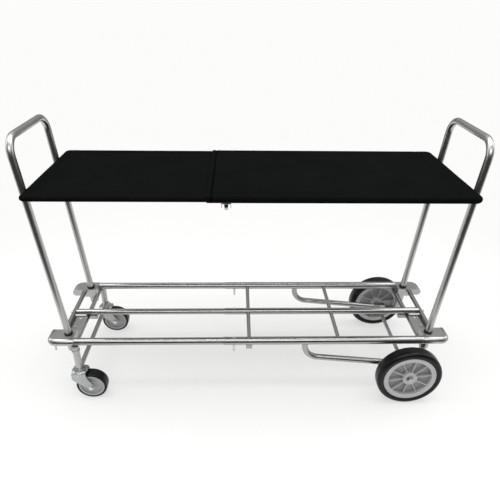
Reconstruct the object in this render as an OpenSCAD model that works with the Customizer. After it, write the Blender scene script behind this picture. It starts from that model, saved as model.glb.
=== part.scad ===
// Telescoping tube cart: chrome tube base on two big wheels and two swivel
// casters, a U handle plugged in at each end and a two part fabric deck.
// +X points at the big wheel end, +Y is the left side of the cart, +Z is up.
// Floor at z = 0, units are millimetres.

/* [Frame] */
// Length over the end brackets
cart_l = 1260; // [1100:5:1400]
// Half distance between the two side rails
rail_y = 156; // [130:1:190]
// Height of the side rail centres above the floor
rail_z = 207; // [190:1:240]
// Outside diameter of the side rails
side_d = 25.4; // [22:0.2:30]
// Outside diameter of the middle rail
mid_d = 22.2; // [19:0.2:26]
// Wall of every rail tube
rail_wall = 1.1; // [0.8:0.1:2]
// Place along the cart where the outer rails begin
split_x = -84; // [-150:2:0]
// Length of inner rail held inside the outer rail
overlap_l = 144; // [100:2:200]
// Diameter of the cross bars under the rails
bar_d = 12.7; // [10:0.1:16]
// Diameter of the cross tubes at the two ends
cross_d = 15; // [12:0.5:18]

/* [End brackets] */
// Length of a bracket along the cart
bracket_l = 84; // [80:1:100]
// Width of a bracket inside its rail centre
bracket_w = 45; // [40:1:50]
// Outer diameter of the leg socket
socket_d = 28; // [26:0.5:32]
// Depth of the leg in its socket below the rail centre
socket_deep = 42; // [30:1:50]

/* [Handles] */
// Leg centre from the end of the bracket, at rail height
leg_in = 62.5; // [50:0.5:70]
// Distance of each leg inside its rail
leg_side = 25; // [22:1:30]
// Outside diameter of the handle tube
leg_d = 20; // [18:0.2:22]
// Wall of the handle tube
leg_wall = 1.5; // [1:0.1:2.5]
// Outward lean of the handles in degrees
lean = 4.5; // [0:0.1:8]
// Height of the hand bar centre
handle_z = 833; // [760:1:960]
// Bend radius of the handle corners
handle_r = 45; // [35:1:60]

/* [Deck] */
// Height of the deck tube centres
deck_z = 699; // [600:1:720]
// Distance of each deck side tube outside its rail
deck_out = 36; // [26:1:50]
// Gap from each deck end tube to the leg centre line at deck height
deck_gap = 19.2; // [17:0.5:40]
// Outside diameter of the slotted deck tubes
deck_d = 16; // [14:0.2:20]
// Diameter of the rod inside the front deck hem
rod_d = 11.4; // [10:0.1:12]
// Thickness of the deck fabric
cloth_t = 0.9; // [0.6:0.1:1.5]
// Place where the rear deck panel begins
deck_split = -120; // [-180:2:-60]

/* [Big wheels] */
// Tyre diameter
wheel_d = 206; // [180:1:220]
// Tyre width
wheel_w = 41; // [34:1:50]
// Distance of the axle from the end of the cart
wheel_in = 128; // [110:1:160]
// Gap between each side rail centre and the middle of its wheel
wheel_out = 47.2; // [45:0.2:60]
// Diameter of the grey wheel centre
rim_d = 165; // [140:1:175]
// Axle diameter
axle_d = 13; // [10:0.5:16]

// Length of the bent tubes that carry the axle
carrier_l = 312; // [260:1:380]

/* [Casters] */
// Caster tyre diameter
caster_d = 97; // [75:1:100]
// Caster tyre width
caster_w = 34; // [22:1:36]
// Distance of the swivel axis from the end of the cart
stem_in = 89.5; // [80:0.5:110]
// Distance of the swivel axis outside its side rail centre
stem_out = 14; // [8:1:16]
// Trail of the caster wheel behind its swivel axis
trail = 32.5; // [25:0.5:45]

/* [Hidden] */
$fn = 64;
fine = 0.1;
air = 0.3;
slide_air = 0.08;
half_l = cart_l/2;
leg_x = half_l - leg_in;
leg_y = rail_y - leg_side;
bracket_in_y = rail_y - bracket_w;
wheel_x = half_l - wheel_in;
wheel_y = rail_y + wheel_out;
stem_x = half_l - stem_in;
stem_y = rail_y + stem_out;
deck_y = rail_y + deck_out;
leg_at_deck = leg_x + (deck_z - rail_z)*tan(lean);
deck_end_x = leg_at_deck - deck_gap;
bracket_x = half_l - bracket_l;
side_r = side_d/2;
inner_side_d = side_d - 2*rail_wall - 2*slide_air;
inner_mid_d = mid_d - 2*rail_wall - 2*slide_air;
mid_z = rail_z - side_r + mid_d/2;
inner_end_x = split_x + overlap_l;
nose_r = 14;
nose_x = half_l - side_r - nose_r;
cross_in_x = bracket_x + 2;
cross_out_x = bracket_x + 44;
rear_in_z = rail_z - side_r - fine - cross_d/2;
front_in_z = rail_z - inner_side_d/2 - fine - cross_d/2;
plate_t = 2.9;
rear_plate_z = rear_in_z + cross_d/2 + fine;
front_plate_z = front_in_z + cross_d/2 + fine;
rear_out_z = rear_plate_z + plate_t + fine + cross_d/2;
front_out_z = front_plate_z + plate_t + fine + cross_d/2;
plate_y0 = -leg_y + 21;
plate_y1 = -mid_d/2 - 0.6;
bar1_x = split_x + 80;
bar2_x = wheel_x - 224;
bar_z = rail_z - 1;
leg_len = (handle_z - rail_z)/cos(lean);
hem_r = rod_d/2 + air + cloth_t;
slot_r = deck_d/2 - 0.8;
rear_sheet_z = deck_z + deck_d/2 + air;
front_sheet_z = deck_z + hem_r - cloth_t;
rear_rod_d = deck_d - 2;
rear_hem_r = rear_rod_d/2 + air + cloth_t;
corner_r = 10;
hem_y = deck_y - corner_r - 6;
front_cloth_end = deck_split + 56;
deck_rod_end = deck_split + 160;
lock_x = split_x + 32;
lock_d = 8;
clamp_x = deck_split + 50;
clamp_w = 25;
wheel_z = wheel_d/2;
rim_r = rim_d/2;
tyre_in_r = rim_r + air;
boss_r = 22.5;
rib_n = 10;
block_y0 = rail_y - 10;
block_y1 = rail_y + 10;
carrier_d = 19;
carrier_r = 48;
carrier_z = rail_z - 19.5;
carrier_drop = carrier_z - wheel_z - 8 - carrier_r;
carrier_slope = round(10*atan(carrier_drop/(carrier_l - carrier_r)))/10;
carrier_arm = carrier_l - carrier_r + 16;
strut_d = 22;
strut_l = 102;
strap_z = wheel_z - 4;
strap_t = 9;
block_x0 = wheel_x - 18;
carrier_x = block_x0 - carrier_l;
block_x1 = wheel_x + 20;
caster_z = caster_d/2;
crown_z = caster_d + 3;
crown_t = 6;
race_z = crown_z + crown_t + 4;
fork_in = caster_w/2 + 2.5;
fork_t = 3;
stem_d = 21;
brace_z = race_z + 13;
brace_d = 15;

chrome_c = [0.78, 0.79, 0.80];
cast_c = [0.62, 0.63, 0.64];
black_c = [0.06, 0.06, 0.07];
grey_c = [0.72, 0.73, 0.74];
zinc_c = [0.70, 0.71, 0.72];

// ---------- helpers ----------
function unit(v) = v/norm(v);
function turn(u, v) = acos(u*v);
function lean_x(z) = leg_x + (z - rail_z)*tan(lean);

// Straight round bar between two points
module bar(p, q, d) {
  v = q - p;
  n = norm(v);
  translate(p)
    rotate([0, acos(v[2]/n), atan2(v[1], v[0])])
      cylinder(d = d, h = n);
}

// Round bend at corner b between the lines a-b and b-c
module bend(a, b, c, r, d) {
  u = unit(b - a);
  v = unit(c - b);
  w = turn(u, v);
  n = unit(v - (u*v)*u);
  z = cross(u, n);
  s = b - u*r*tan(w/2);
  o = s + n*r;
  m = [[-n[0], u[0], z[0], o[0]],
       [-n[1], u[1], z[1], o[1]],
       [-n[2], u[2], z[2], o[2]],
       [0, 0, 0, 1]];
  multmatrix(m)
    rotate_extrude(angle = w)
      translate([r, 0])
        circle(d = d);
}

// Length of line used up by a bend
function used(a, b, c, r) = r*tan(turn(unit(b - a), unit(c - b))/2);

// One bend path
module path3(a, b, c, r, d) {
  t = used(a, b, c, r);
  bar(a, b - unit(b - a)*t, d);
  bend(a, b, c, r, d);
  bar(b + unit(c - b)*t, c, d);
}

// Two bend path
module path4(a, b, c, e, r, d) {
  t = used(a, b, c, r);
  s = used(b, c, e, r);
  bar(a, b - unit(b - a)*t, d);
  bend(a, b, c, r, d);
  bar(b + unit(c - b)*t, c - unit(c - b)*s, d);
  bend(b, c, e, r, d);
  bar(c + unit(e - c)*s, e, d);
}

module along_x(x0, x1, y, z, d) {
  translate([x0, y, z])
    rotate([0, 90, 0])
      cylinder(d = d, h = x1 - x0);
}

module along_y(y0, y1, x, z, d) {
  translate([x, y0, z])
    rotate([-90, 0, 0])
      cylinder(d = d, h = y1 - y0);
}

module along_z(z0, z1, x, y, d) {
  translate([x, y, z0])
    cylinder(d = d, h = z1 - z0);
}

module box(x0, x1, y0, y1, z0, z1) {
  translate([x0, y0, z0])
    cube([x1 - x0, y1 - y0, z1 - z0]);
}

module hex_z(z0, z1, x, y, af) {
  translate([x, y, z0])
    cylinder(d = af/cos(30), h = z1 - z0, $fn = 6);
}

// ---------- rails ----------
module tube_x(x0, x1, y, z, d, wall) {
  difference() {
    along_x(x0, x1, y, z, d);
    along_x(x0 - 1, x1 + 1, y, z, d - 2*wall);
  }
}

// Side rail of the rear half, with the hole for its lock screw
module rear_side_rail(side) {
  y = side*rail_y;
  difference() {
    tube_x(split_x, bracket_x - fine, y, rail_z, side_d, rail_wall);
    along_z(rail_z - side_r - 2, rail_z, lock_x, y, lock_d - 1.4);
  }
}

module rail_rear_right() {
  color(chrome_c)
    rear_side_rail(-1);
}

module rail_rear_left() {
  color(chrome_c)
    rear_side_rail(1);
}

module rail_rear_mid() {
  color(chrome_c)
    tube_x(split_x, cross_out_x - cross_d/2 - 0.2, 0, mid_z, mid_d, rail_wall);
}

module front_side_rail(side) {
  tube_x(-bracket_x + fine, inner_end_x, side*rail_y, rail_z, inner_side_d, rail_wall);
}

module rail_front_right() {
  color(chrome_c)
    front_side_rail(-1);
}

module rail_front_left() {
  color(chrome_c)
    front_side_rail(1);
}

module rail_front_mid() {
  color(chrome_c)
    tube_x(-cross_out_x + cross_d/2 + 0.2, inner_end_x, 0, mid_z, inner_mid_d, rail_wall);
}

// Small dome heads on top of the three outer rails
module rivet(y, z, d) {
  head = 8;
  difference() {
    union() {
      along_z(z + d/2 - 1, z + d/2 + 1.4, lock_x, y, head);
      along_z(z + d/2, z + d/2 + 2.4, lock_x, y, head - 3);
    }
    along_x(lock_x - head, lock_x + head, y, z, d + fine);
  }
}

module rail_rivets() {
  color(zinc_c) {
    rivet(-rail_y, rail_z, side_d);
    rivet(0, mid_z, mid_d);
    rivet(rail_y, rail_z, side_d);
  }
}

// ---------- cross bars ----------
// Cross bar in two lengths, each notched to the rails at its ends
module notched_bar(x) {
  difference() {
    along_y(-rail_y, rail_y, x, bar_z, bar_d);
    for (s = [-1, 1])
      along_x(x - 20, x + 20, s*rail_y, rail_z, side_d + 2*fine);
    along_x(x - 20, x + 20, 0, mid_z, mid_d + 2*fine);
  }
}

// Middle cross bar and the small block under the right rail
module bar_middle() {
  foot_l = 19;
  foot_h = 14;
  foot_z = rail_z - side_r - fine;
  color(chrome_c) {
    notched_bar(bar1_x);
    box(bar1_x - foot_l/2, bar1_x + foot_l/2, -rail_y - 6, -rail_y + 8,
      foot_z - foot_h, foot_z);
  }
}

module bar_rear() {
  color(chrome_c)
    notched_bar(bar2_x);
}

module cross_rear_in() {
  color(chrome_c)
    along_y(-rail_y - 3, rail_y + 3, cross_in_x, rear_in_z, cross_d);
}

module cross_rear_out() {
  color(chrome_c)
    along_y(-bracket_in_y + fine, bracket_in_y - fine, cross_out_x, rear_out_z, cross_d);
}

module cross_front_in() {
  y = stem_y - stem_d/2 - 4;
  color(chrome_c)
    along_y(-y, y, -cross_in_x, front_in_z, cross_d);
}

module cross_front_out() {
  color(chrome_c)
    along_y(-bracket_in_y + fine, bracket_in_y - fine, -cross_out_x, front_out_z, cross_d);
}

// ---------- corner brackets ----------
// Axis line of one leg, at +X +Y, drawn along local z
module on_leg() {
  translate([leg_x, leg_y, rail_z])
    rotate([0, lean, 0])
      children();
}

// Corner casting drawn at +X +Y
module bracket(spigot_d, cross_z, drop) {
  low = rail_z - side_r;
  plate_h = side_d - 0.8;
  plate_z = low + 0.4;
  nose_y = rail_y - nose_r;
  socket_z = -socket_deep - 4;
  difference() {
    union() {
      // bull nose on the outer side, round the corner and across the end
      along_x(bracket_x, nose_x, rail_y, rail_z, side_d);
      translate([nose_x, nose_y, rail_z])
        rotate_extrude(angle = 90)
          translate([nose_r, 0])
            circle(d = side_d);
      along_y(bracket_in_y, nose_y, nose_x + nose_r, rail_z, side_d);
      // flat body
      box(bracket_x, nose_x, bracket_in_y, rail_y, plate_z, plate_z + plate_h);
      box(nose_x - 1, nose_x + nose_r, bracket_in_y, nose_y, plate_z, plate_z + plate_h);
      translate([nose_x, nose_y, plate_z])
        cylinder(r = nose_r, h = plate_h);
      // round housing about the leg
      on_leg()
        translate([0, 0, -side_r + 3])
          cylinder(d = socket_d + 10, h = side_d - 3.4);
      // leg socket under the body
      on_leg()
        translate([0, 0, socket_z])
          cylinder(d = socket_d, h = -socket_z);
      // strut that goes on down to the axle strap
      if (drop > 0)
        on_leg()
          translate([0, 0, -drop])
            cylinder(d = strut_d, h = drop + socket_z + 1);
      // stiffening rib behind the socket
      box(leg_x + 6, leg_x + 32, leg_y - 3, leg_y + 3, low - 16, low + 2);
      // spigot inside the rail
      along_x(bracket_x - 30, bracket_x + 1, rail_y, rail_z, spigot_d);
    }
    on_leg()
      translate([0, 0, -socket_deep - air])
        cylinder(d = leg_d + 2*slide_air, h = socket_deep*2);
    along_y(0, rail_y + 20, cross_in_x, cross_z, cross_d + 2*fine);
  }
}

module bracket_rear_right() {
  color(cast_c)
    mirror([0, 1, 0])
      bracket(side_d - 2*rail_wall - 2*fine, rear_in_z, strut_l);
}

module bracket_rear_left() {
  color(cast_c)
    bracket(side_d - 2*rail_wall - 2*fine, rear_in_z, strut_l);
}

module bracket_front_right() {
  color(cast_c)
    mirror([1, 0, 0])
      mirror([0, 1, 0])
        bracket(inner_side_d - 2*rail_wall - 2*fine, front_in_z, 0);
}

module bracket_front_left() {
  color(cast_c)
    mirror([1, 0, 0])
      bracket(inner_side_d - 2*rail_wall - 2*fine, front_in_z, 0);
}

// Rubber rings round the legs where they leave the brackets
module grommet() {
  seat = side_r + 0.4;
  ring_d = leg_d + 6;
  difference() {
    on_leg()
      translate([0, 0, seat])
        cylinder(d = ring_d, h = 3.4);
    on_leg()
      translate([0, 0, seat - 2])
        cylinder(d = leg_d + 2*air, h = 10);
    box(leg_x - 30, leg_x + 30, leg_y - 30, leg_y + 30, rail_z - 5, rail_z + side_r - 0.1);
  }
}

module grommets_rear() {
  color(black_c) {
    grommet();
    mirror([0, 1, 0])
      grommet();
  }
}

module grommets_front() {
  color(black_c)
    mirror([1, 0, 0]) {
      grommet();
      mirror([0, 1, 0])
        grommet();
    }
}

// ---------- end plates and their fasteners, drawn at +X ----------
plate_x0 = cross_in_x - 4;
plate_x1 = cross_out_x + 3;
hole_x = (cross_in_x + cross_out_x)/2 - 4;
screw_y1 = -74;
screw_y2 = -97;
stop_l = 33;
stop_y = 9;
stop_h = 14;

module end_plate(z) {
  difference() {
    box(plate_x0, plate_x1, plate_y0, plate_y1, z, z + plate_t);
    along_z(z - 1, z + plate_t + 1, hole_x, -26, 8);
    for (y = [screw_y1, screw_y2])
      along_z(z - 1, z + plate_t + 1, hole_x + 4, y, 5.4);
  }
}

// Stop block under the middle rail, saddled on the inner cross tube
module rail_stop(tube_z, rail_low) {
  difference() {
    box(cross_in_x - stop_l, cross_in_x, -stop_y, stop_y, rail_low - fine - stop_h,
      rail_low - fine);
    along_y(-stop_y - 1, stop_y + 1, cross_in_x, tube_z, cross_d + 2*fine);
    box(cross_in_x - 6, cross_in_x + 1, -stop_y - 1, stop_y + 1, rail_low - 40, rail_low + 1);
  }
}

module plate_rear() {
  color(cast_c) {
    end_plate(rear_plate_z);
    rail_stop(rear_in_z, mid_z - mid_d/2);
  }
}

module plate_front() {
  color(cast_c)
    mirror([1, 0, 0]) {
      end_plate(front_plate_z);
      rail_stop(front_in_z, mid_z - inner_mid_d/2);
    }
}

// Button screws in the plate and the bolt head on the end cross tube
module end_screws(z, tube_z) {
  for (y = [screw_y1, screw_y2]) {
    along_z(z + plate_t + 0.05, z + plate_t + 3, hole_x + 4, y, 9);
    along_z(z - 6, z + plate_t + 1, hole_x + 4, y, 5);
    hex_z(z - 5, z - 0.1, hole_x + 4, y, 8);
  }
  difference() {
    along_x(cross_out_x + 3, cross_out_x + cross_d/2 + 4.5, 0, tube_z, 10);
    along_y(-10, 10, cross_out_x, tube_z, cross_d + fine);
  }
}

module screws_rear() {
  color(zinc_c)
    end_screws(rear_plate_z, rear_out_z);
}

module screws_front() {
  stud_x = half_l - 22;
  stud_y = rail_y - 3;
  z = rail_z - side_r;
  color(zinc_c)
    mirror([1, 0, 0]) {
      end_screws(front_plate_z, front_out_z);
      for (s = [-1, 1])
        difference() {
          union() {
            hex_z(z - 5.5, z - 0.1, stud_x, s*stud_y, 10);
            along_z(z - 21, z - 5, stud_x, s*stud_y, 6.6);
          }
          along_x(stud_x - 12, stud_x + 12, s*rail_y, rail_z, side_d + fine);
          box(stud_x - 12, stud_x + 12, -rail_y, rail_y, z + 0.3, z + 9);
        }
    }
}

// ---------- wheel carriers, axle ----------
// Bent tube drawn about its bend centre: short leg up, long arm along x
module carrier_path(d, more) {
  along_z(0, 50, -carrier_r, 0, d);
  rotate([90, 0, 0])
    rotate([0, 0, 180])
      rotate_extrude(angle = 90)
        translate([carrier_r, 0])
          circle(d = d);
  along_x(0, carrier_arm + more, 0, -carrier_r, d);
}

module carrier(side) {
  y = side*rail_y;
  difference() {
    translate([carrier_x + carrier_r, y, carrier_z])
      rotate([0, carrier_slope, 0])
        difference() {
          carrier_path(carrier_d, 0);
          carrier_path(carrier_d - 3, 2);
        }
    along_x(carrier_x - 50, carrier_x + 50, y, rail_z, side_d + 2*fine);
    box(carrier_x - 50, carrier_x + 50, y - 20, y + 20, rail_z, rail_z + 50);
    box(block_x0 - fine, block_x0 + 30, y - 20, y + 20, 60, 160);
  }
}

module carrier_right() {
  color(chrome_c)
    carrier(-1);
}

module carrier_left() {
  color(chrome_c)
    carrier(1);
}

module axle() {
  color(zinc_c) {
    along_y(-wheel_y - wheel_w/2 - 5.6, wheel_y + wheel_w/2 + 5.6, wheel_x, wheel_z, axle_d);
    for (s = [-1, 1])
      mirror([0, s > 0 ? 0 : 1, 0])
        along_y(block_y1 + fine, wheel_y - 19.8, wheel_x, wheel_z, axle_d + 8);
  }
}

module axle_blocks() {
  color(cast_c)
    for (s = [-1, 1])
      mirror([0, s > 0 ? 0 : 1, 0])
        difference() {
          union() {
            box(block_x0, block_x1, block_y0, block_y1, wheel_z - 13, wheel_z + 19);
            box(block_x1 - 1, leg_x + 6, block_y0 - 8, block_y1, strap_z, strap_z + strap_t);
            box(leg_x - 24, leg_x + 6, leg_y - 8, block_y0, strap_z, strap_z + strap_t);
          }
          on_leg()
            translate([0, 0, -strut_l - 30])
              cylinder(d = strut_d + 2*fine, h = strut_l);
          along_y(block_y0 - 1, block_y1 + 1, wheel_x, wheel_z, axle_d + fine);
        }
}

module axle_nuts() {
  y = wheel_y + wheel_w/2;
  color(zinc_c)
    for (s = [-1, 1])
      mirror([0, s > 0 ? 0 : 1, 0])
        difference() {
          union() {
            along_y(y - 1.2, y + 0.6, wheel_x, wheel_z, 27);
            translate([wheel_x, y + 0.4, wheel_z])
              rotate([-90, 0, 0])
                cylinder(d = 19/cos(30), h = 7.6, $fn = 6);
          }
          along_y(y - 3, y + 6, wheel_x, wheel_z, axle_d + fine);
        }
}

// ---------- big wheels ----------
// Grey moulded centre: rim ring, dished web, boss and ribs on both faces
module hub(side) {
  ring_w = wheel_w - 4;
  ring_in = rim_r - 14.5;
  web_t = 5;
  rib_w = 29;
  rib_t = 2.8;
  translate([wheel_x, side*wheel_y, wheel_z])
    rotate([90, 0, 0])
      difference() {
        union() {
          difference() {
            translate([0, 0, -ring_w/2])
              cylinder(r = rim_r, h = ring_w);
            translate([0, 0, -ring_w])
              cylinder(r = ring_in, h = 2*ring_w);
          }
          translate([0, 0, -web_t/2])
            cylinder(r = ring_in + 1, h = web_t);
          translate([0, 0, -wheel_w/2 + 1.4])
            cylinder(r = boss_r, h = wheel_w - 2.8);
          for (i = [0 : rib_n - 1])
            rotate([0, 0, i*360/rib_n + 9])
              translate([boss_r - 1, -rib_t/2, -rib_w/2])
                cube([ring_in - boss_r + 2, rib_t, rib_w]);
        }
        cylinder(d = axle_d + fine, h = 2*wheel_w, center = true);
      }
}

module hub_right() {
  color(grey_c)
    hub(-1);
}

module hub_left() {
  color(grey_c)
    hub(1);
}

// Round shouldered tyre section
module tyre(r_in, r_out, w, rnd) {
  h = w/2;
  k = 0.7071;
  rotate_extrude()
    polygon([
      [r_in, -h + 1.5],
      [r_in + 1.2, -h + 0.2],
      [r_out - rnd, -h],
      [r_out - rnd + rnd*0.3827, -h + rnd*(1 - 0.9239)],
      [r_out - rnd + rnd*k, -h + rnd*(1 - k)],
      [r_out - rnd + rnd*0.9239, -h + rnd*(1 - 0.3827)],
      [r_out, -h + rnd],
      [r_out, h - rnd],
      [r_out - rnd + rnd*0.9239, h - rnd*(1 - 0.3827)],
      [r_out - rnd + rnd*k, h - rnd*(1 - k)],
      [r_out - rnd + rnd*0.3827, h - rnd*(1 - 0.9239)],
      [r_out - rnd, h],
      [r_in + 1.2, h - 0.2],
      [r_in, h - 1.5]]);
}

module wheel_tyre(side) {
  translate([wheel_x, side*wheel_y, wheel_z])
    rotate([90, 0, 0])
      tyre(tyre_in_r, wheel_d/2, wheel_w, 9);
}

module tyre_right() {
  color(black_c)
    wheel_tyre(-1);
}

module tyre_left() {
  color(black_c)
    wheel_tyre(1);
}

// ---------- rail lock screws ----------
module lock_screw(side) {
  y = side*rail_y;
  low = rail_z - side_r;
  top = rail_z - side_r + rail_wall - air;
  along_z(low - 1, top, lock_x, y, lock_d - 2);
  along_z(low - 24, low - 0.5, lock_x, y, lock_d);
  along_z(low - 27, low - 23, lock_x, y, lock_d - 2.4);
  translate([lock_x, y, low - 27])
    sphere(d = lock_d - 2.4);
}

module lock_right() {
  color(zinc_c)
    lock_screw(-1);
}

module lock_left() {
  color(zinc_c)
    lock_screw(1);
}

// ---------- handles ----------
module handle() {
  low = [0, -leg_y, -socket_deep];
  a = [0, -leg_y, leg_len];
  b = [0, leg_y, leg_len];
  low2 = [0, leg_y, -socket_deep];
  down = [0, 0, 1];
  translate([leg_x, 0, rail_z])
    rotate([0, lean, 0])
      difference() {
        path4(low, a, b, low2, handle_r, leg_d);
        path4(low - down, a, b, low2 - down, handle_r, leg_d - 2*leg_wall);
      }
}

module handle_rear() {
  color(chrome_c)
    handle();
}

module handle_front() {
  color(chrome_c)
    mirror([1, 0, 0])
      handle();
}

// ---------- deck ----------
// Slotted side tubes and end rod of the rear panel
module deck_frame_rear() {
  x1 = deck_end_x - corner_r - 4;
  plug = 18;
  color(black_c) {
    for (s = [-1, 1])
      mirror([0, s > 0 ? 0 : 1, 0])
        difference() {
          along_x(deck_split + 3, x1, deck_y, deck_z, deck_d);
          along_x(deck_split, x1 - plug, deck_y, deck_z, 2*slot_r);
          box(deck_split, x1 - plug, deck_y - deck_d, deck_y - 1.5,
            deck_z + 5, deck_z + deck_d);
        }
    path4([x1 - plug, -deck_y, deck_z], [deck_end_x, -deck_y, deck_z],
      [deck_end_x, deck_y, deck_z], [x1 - plug, deck_y, deck_z], corner_r, rear_rod_d);
  }
}

// Rod frame of the front panel, its arms slide inside the slotted tubes
module deck_frame_front() {
  color(black_c)
    path4([deck_rod_end, -deck_y, deck_z], [-deck_end_x, -deck_y, deck_z],
      [-deck_end_x, deck_y, deck_z], [deck_rod_end, deck_y, deck_z], corner_r, rod_d);
}

// Rear fabric lies on top of the slotted tubes and wraps the end rod
module deck_cloth_rear() {
  color(black_c) {
    box(deck_split, deck_end_x - 4, -deck_y - 2, deck_y + 2, rear_sheet_z,
      rear_sheet_z + cloth_t);
    box(deck_end_x - 6, deck_end_x, -hem_y, hem_y, rear_sheet_z, rear_sheet_z + cloth_t);
    difference() {
      along_y(-hem_y, hem_y, deck_end_x, deck_z, 2*rear_hem_r);
      along_y(-hem_y - 1, hem_y + 1, deck_end_x, deck_z, 2*rear_hem_r - 2*cloth_t);
      box(deck_end_x - 12, deck_end_x, -deck_y, deck_y, deck_z + 4, deck_z + 20);
    }
    box(deck_end_x - 0.5, deck_end_x + 1.5, -hem_y, hem_y, deck_z + rear_hem_r - cloth_t + 0.1,
      rear_sheet_z + 0.5);
  }
}

// Front fabric wraps its rods on three sides
module deck_cloth_front() {
  x0 = -deck_end_x + corner_r + 4;
  color(black_c) {
    box(-deck_end_x, front_cloth_end, -hem_y, hem_y, front_sheet_z, front_sheet_z + cloth_t);
    box(x0, front_cloth_end, -deck_y, deck_y, front_sheet_z, front_sheet_z + cloth_t);
    for (s = [-1, 1])
      difference() {
        along_x(x0, front_cloth_end, s*deck_y, deck_z, 2*hem_r);
        along_x(x0 - 1, front_cloth_end + 1, s*deck_y, deck_z, 2*hem_r - 2*cloth_t);
      }
    difference() {
      along_y(-hem_y, hem_y, -deck_end_x, deck_z, 2*hem_r);
      along_y(-hem_y - 1, hem_y + 1, -deck_end_x, deck_z, 2*hem_r - 2*cloth_t);
    }
  }
}

// Saddle hooks on the legs that carry the deck ends, drawn at +X
module deck_hooks(r_hem) {
  z1 = deck_z - 5;
  z0 = deck_z - 30;
  leg_here = lean_x(deck_z);
  for (s = [-1, 1])
    mirror([0, s > 0 ? 0 : 1, 0])
      difference() {
        box(deck_end_x - 8, leg_here - 3, leg_y - 8, leg_y + 8, z0, z1);
        on_leg()
          cylinder(d = leg_d + 2*fine, h = leg_len);
        along_y(leg_y - 20, leg_y + 20, deck_end_x, deck_z, 2*r_hem + 2*air);
        box(deck_end_x - 20, deck_end_x - 4, leg_y - 20, leg_y + 20, z0 - 1, z0 + 8);
      }
}

module deck_hooks_rear() {
  color(cast_c)
    deck_hooks(rear_hem_r);
}

module deck_hooks_front() {
  color(cast_c)
    mirror([1, 0, 0])
      deck_hooks(hem_r);
}

// Clamp band under the slotted tube with two ears, drawn at -Y
module deck_clamp() {
  band_d = deck_d + 3.2;
  ear_t = 2.2;
  x0 = clamp_x - clamp_w/2;
  x1 = clamp_x + clamp_w/2;
  difference() {
    union() {
      along_x(x0, x1, -deck_y, deck_z, band_d);
      box(x0, x0 + ear_t, -deck_y - 4, -deck_y + 4, deck_z - 21, deck_z - 8);
      box(x1 - ear_t, x1, -deck_y - 4, -deck_y + 4, deck_z - 21, deck_z - 8);
      box(x0, x1, -deck_y - 6, -deck_y + 6, deck_z - 12, deck_z - 8);
    }
    along_x(x0 - 1, x1 + 1, -deck_y, deck_z, deck_d + 2*fine);
    box(x0 - 1, x1 + 1, -deck_y - 0.5, -deck_y + 12, deck_z + 2, deck_z + 12);
    box(x0 - 1, x1 + 1, -deck_y - 12, -deck_y + 12, deck_z + 7, deck_z + 12);
    along_z(deck_z - 22, deck_z, clamp_x, -deck_y, 5.7);
  }
}

module deck_clamp_right() {
  color(zinc_c)
    deck_clamp();
}

module deck_clamp_left() {
  color(zinc_c)
    mirror([0, 1, 0])
      deck_clamp();
}

// Clamp screw: plain shank, black knurled head and a short tail
module clamp_screw() {
  top = deck_z - deck_d/2 - air;
  along_z(deck_z - 20, top, clamp_x, -deck_y, 5);
  along_z(deck_z - 21, deck_z - 12.3, clamp_x, -deck_y, 10.5);
  along_z(deck_z - 29, deck_z - 20.5, clamp_x, -deck_y, 8);
}

module clamp_screw_right() {
  color(black_c)
    clamp_screw();
}

module clamp_screw_left() {
  color(black_c)
    mirror([0, 1, 0])
      clamp_screw();
}

// ---------- caster stems and brace ----------
// Stem tube notched under the bracket, collar, bearing race and king pin
module stem(side) {
  x = -stem_x;
  y = side*stem_y;
  top = rail_z - side_r;
  pin_d = 10;
  difference() {
    union() {
      along_z(race_z + 3, top + 6, x, y, stem_d);
      along_z(top - 12, top - 5, x, y, stem_d + 4);
      along_z(race_z + air, race_z + 4, x, y, 36);
      along_z(crown_z - 5, race_z + 4, x, y, pin_d);
      along_z(crown_z - 5, crown_z - air, x, y, 17);
    }
    along_x(x - 30, x + 30, side*rail_y, rail_z, side_d + 2*fine);
    box(x - 30, x + 30, -rail_y, rail_y, top + 0.3, top + 20);
  }
}

module stem_right() {
  color(zinc_c)
    stem(-1);
}

module stem_left() {
  color(zinc_c)
    stem(1);
}

module brace_front() {
  color(chrome_c)
    difference() {
      along_y(-stem_y, stem_y, -stem_x + 7, brace_z, brace_d);
      for (s = [-1, 1])
        along_z(brace_z - 20, brace_z + 20, -stem_x, s*stem_y, stem_d + 2*fine);
      for (s = [-1, 1])
        box(-stem_x - 20, -stem_x + 30, s*(stem_y + 15) - 15, s*(stem_y + 15) + 15,
          brace_z - 20, brace_z + 20);
    }
}

// ---------- casters, drawn with the swivel axis at the origin ----------
module at_caster(side) {
  translate([-stem_x, side*stem_y, 0])
    children();
}

// Outline of one fork cheek in the x-z plane
module cheek() {
  eye = 12;
  union() {
    translate([trail, caster_z])
      circle(r = eye);
    polygon([
      [-22, crown_z + 4],
      [22, crown_z + 4],
      [24, crown_z - 12],
      [trail + 10, caster_z + 6],
      [trail - 6, caster_z - 9],
      [-14, crown_z - 27],
      [-23, crown_z - 16]]);
  }
}

module fork(side) {
  pin_d = 10;
  crown_d = 50;
  at_caster(side)
    difference() {
      union() {
        along_z(crown_z, crown_z + crown_t, 0, 0, crown_d);
        box(-22, 22, -fork_in - fork_t, fork_in + fork_t, crown_z, crown_z + 4);
        translate([0, 0, crown_z + crown_t])
          cylinder(d1 = crown_d, d2 = crown_d - 10, h = 4);
        for (s = [-1, 1])
          translate([0, s > 0 ? fork_in + fork_t : -fork_in, 0])
            rotate([90, 0, 0])
              linear_extrude(fork_t)
                cheek();
      }
      along_z(crown_z - 10, race_z + 2, 0, 0, pin_d + fine);
      along_y(-40, 40, trail, caster_z, 8 + 2*fine);
    }
}

module fork_right() {
  color(zinc_c)
    fork(-1);
}

module fork_left() {
  color(zinc_c)
    fork(1);
}

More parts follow.
